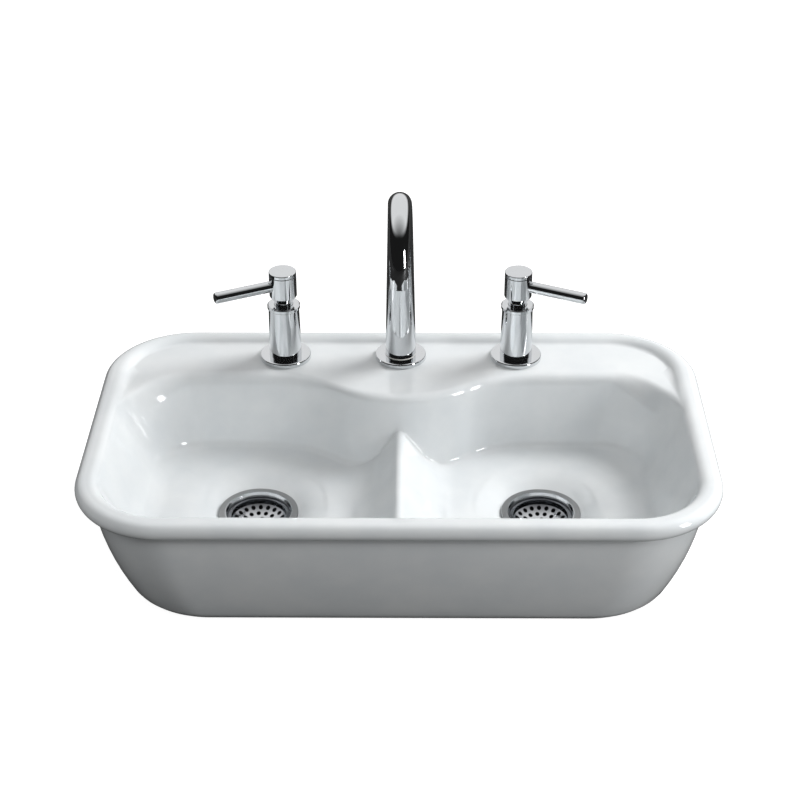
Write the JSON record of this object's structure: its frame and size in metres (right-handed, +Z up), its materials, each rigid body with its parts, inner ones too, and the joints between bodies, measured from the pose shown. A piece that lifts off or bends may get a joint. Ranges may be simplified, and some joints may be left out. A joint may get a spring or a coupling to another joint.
{
  "type": "double-bowl kitchen sink",
  "caption": "White porcelain kitchen sink with side-by-side bowls, a waved tap deck, chrome gooseneck spout, lever valves and lift-out basket strainers.",
  "frame": {"origin": "middle of the plane that the skirt stands on", "axes": "+X to the right along the sink's length, +Y from the bowls to the tap deck at the back, +Z up"},
  "size_m": [0.838, 0.5, 0.4711],
  "materials": {
    "porcelain": "white fired glaze",
    "chrome": "polished chrome plate",
    "strainer_steel": "satin stainless steel",
    "basket_steel": "pressed and polished stainless steel",
    "brass": "turned brass",
    "zinc_steel": "zinc-plated steel",
    "black_rubber": "moulded black rubber",
    "fibre": "pressed fibre",
    "white_plastic": "moulded plastic",
    "disc_ceramic": "ground ceramic"
  },
  "bodies": {
    "sink": {"basin": "porcelain", "deck_washers": "black_rubber", "clamp_washers": "zinc_steel", "mounting_nuts": "brass", "strainer_gaskets": "black_rubber", "floor_washers": "black_rubber", "friction_rings": "fibre", "drain_nuts": "brass", "spout_escutcheon": "chrome", "spout_shank": "brass", "swivel_washer": "white_plastic", "swivel_bush": "white_plastic", "swivel_rings": "black_rubber", "left_escutcheon": "chrome", "left_valve_body": "brass", "left_seat_seal": "black_rubber", "left_fixed_disc": "disc_ceramic", "left_cartridge": "brass", "left_valve_sleeve": "chrome", "left_strainer_body": "strainer_steel", "right_escutcheon": "chrome", "right_valve_body": "brass", "right_seat_seal": "black_rubber", "right_fixed_disc": "disc_ceramic", "right_cartridge": "brass", "right_valve_sleeve": "chrome", "right_strainer_body": "strainer_steel"},
    "spout": {"spout_tube": "chrome", "spout_screw": "zinc_steel", "aerator_housing": "chrome", "aerator_insert": "white_plastic", "aerator_seal": "black_rubber"},
    "left_handle": {"left_moving_disc": "disc_ceramic", "left_stem": "brass", "left_handle_hub": "chrome", "left_hub_cap": "chrome", "left_lever": "chrome", "left_handle_screw": "zinc_steel"},
    "left_basket_set": {"left_basket": "basket_steel", "left_basket_post": "basket_steel", "left_basket_stopper": "black_rubber", "left_stopper_nuts": "brass"},
    "right_handle": {"right_moving_disc": "disc_ceramic", "right_stem": "brass", "right_handle_hub": "chrome", "right_hub_cap": "chrome", "right_lever": "chrome", "right_handle_screw": "zinc_steel"},
    "right_basket_set": {"right_basket": "basket_steel", "right_basket_post": "basket_steel", "right_basket_stopper": "black_rubber", "right_stopper_nuts": "brass"}
  },
  "joints": [
    {"name": "spout_swivel", "type": "hinge", "parent": "sink", "child": "spout", "pos_m": [0, 0.187, 0.195], "axis": [0, 0, 1], "range_deg": [-60, 60]},
    {"name": "left_handle_turn", "type": "hinge", "parent": "sink", "child": "left_handle", "pos_m": [-0.166, 0.187, 0.274], "axis": [0, 0, 1], "range_deg": [-25, 65]},
    {"name": "left_basket_lift", "type": "slide", "parent": "sink", "child": "left_basket_set", "axis": [0, 0, 1], "range_m": [0, 0.2]},
    {"name": "right_handle_turn", "type": "hinge", "parent": "sink", "child": "right_handle", "pos_m": [0.166, 0.187, 0.274], "axis": [0, 0, -1], "range_deg": [-25, 65]},
    {"name": "right_basket_lift", "type": "slide", "parent": "sink", "child": "right_basket_set", "axis": [0, 0, 1], "range_m": [0, 0.2]}
  ]
}
